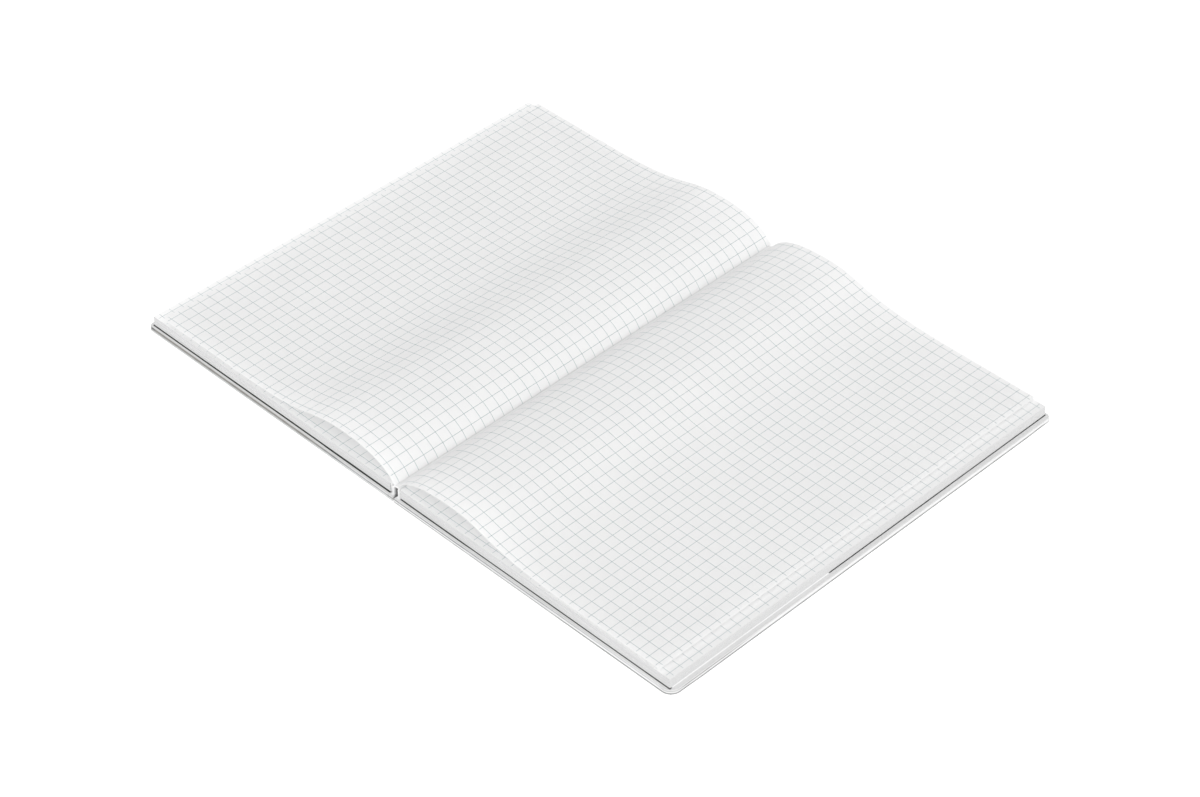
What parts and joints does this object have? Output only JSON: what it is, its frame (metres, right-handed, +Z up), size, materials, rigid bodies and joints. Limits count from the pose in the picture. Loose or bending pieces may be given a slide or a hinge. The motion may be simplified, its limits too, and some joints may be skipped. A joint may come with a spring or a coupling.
{
  "type": "hardcover notebook",
  "caption": "Sewn hardcover notebook with square-ruled pages, lying open at its middle spread: hinged covers, two halves that shut, and two curved leaves that turn.",
  "frame": {"origin": "middle of the spine at the surface the open covers lie on, halfway from tail to head", "axes": "+X across the spread towards the back cover, +Y along the spine from tail to head, +Z up"},
  "size_m": [0.2948, 0.213, 0.0166],
  "materials": {
    "page_paper": "matt uncoated white paper, ruled in pale blue-grey squares",
    "endpaper": "matt near-black endpaper, seen as the thin dark line under the pages",
    "cover_cloth": "smooth fine-woven white book cloth",
    "greyboard": "raw grey binder's board",
    "mull": "open starched cotton gauze",
    "thread": "waxed linen thread"
  },
  "bodies": {
    "back_cover": {"back_board": "greyboard", "back_cover_cloth": "cover_cloth", "back_pastedown": "endpaper"},
    "back_block": {"back_flyleaf": "endpaper", "back_section_1": "page_paper", "back_section_2": "page_paper", "back_section_3": "page_paper", "back_section_4": "page_paper", "back_section_5": "page_paper", "back_section_6": "page_paper", "back_sewing_thread_1": "thread", "back_sewing_thread_2": "thread", "back_sewing_thread_3": "thread", "back_sewing_thread_4": "thread", "back_sewing_thread_5": "thread", "back_mull": "mull", "back_spine_cloth": "cover_cloth", "spine_fold": "cover_cloth"},
    "right_leaf": {"right_leaf": "page_paper"},
    "front_block": {"front_flyleaf": "endpaper", "front_section_1": "page_paper", "front_section_2": "page_paper", "front_section_3": "page_paper", "front_section_4": "page_paper", "front_section_5": "page_paper", "front_section_6": "page_paper", "front_sewing_thread_1": "thread", "front_sewing_thread_2": "thread", "front_sewing_thread_3": "thread", "front_sewing_thread_4": "thread", "front_sewing_thread_5": "thread", "front_mull": "mull", "front_spine_cloth": "cover_cloth"},
    "left_leaf": {"left_leaf": "page_paper"},
    "front_cover": {"front_board": "greyboard", "front_cover_cloth": "cover_cloth", "front_pastedown": "endpaper"}
  },
  "joints": [
    {"name": "back_cover_hinge", "type": "hinge", "parent": "back_cover", "child": "back_block", "pos_m": [0.0024, 0, 0.0022], "axis": [0, -1, 0], "range_deg": [0, 90]},
    {"name": "gutter_hinge", "type": "hinge", "parent": "back_block", "child": "front_block", "pos_m": [0, 0, 0.00681], "axis": [0, 1, 0], "range_deg": [0, 180], "deforming": ["spine_fold", "left_leaf", "right_leaf"]},
    {"name": "front_cover_hinge", "type": "hinge", "parent": "front_block", "child": "front_cover", "pos_m": [-0.0024, 0, 0.0022], "axis": [0, -1, 0], "range_deg": [0, 90]},
    {"name": "left_leaf_turn", "type": "hinge", "parent": "front_block", "child": "left_leaf", "pos_m": [-0.0006, 0, 0.00666], "axis": [0, -1, 0], "range_deg": [-60, 0], "deforming": ["left_leaf"]},
    {"name": "right_leaf_turn", "type": "hinge", "parent": "back_block", "child": "right_leaf", "pos_m": [0.0009, 0, 0.00666], "axis": [0, 1, 0], "range_deg": [-60, 0], "deforming": ["right_leaf"]}
  ]
}
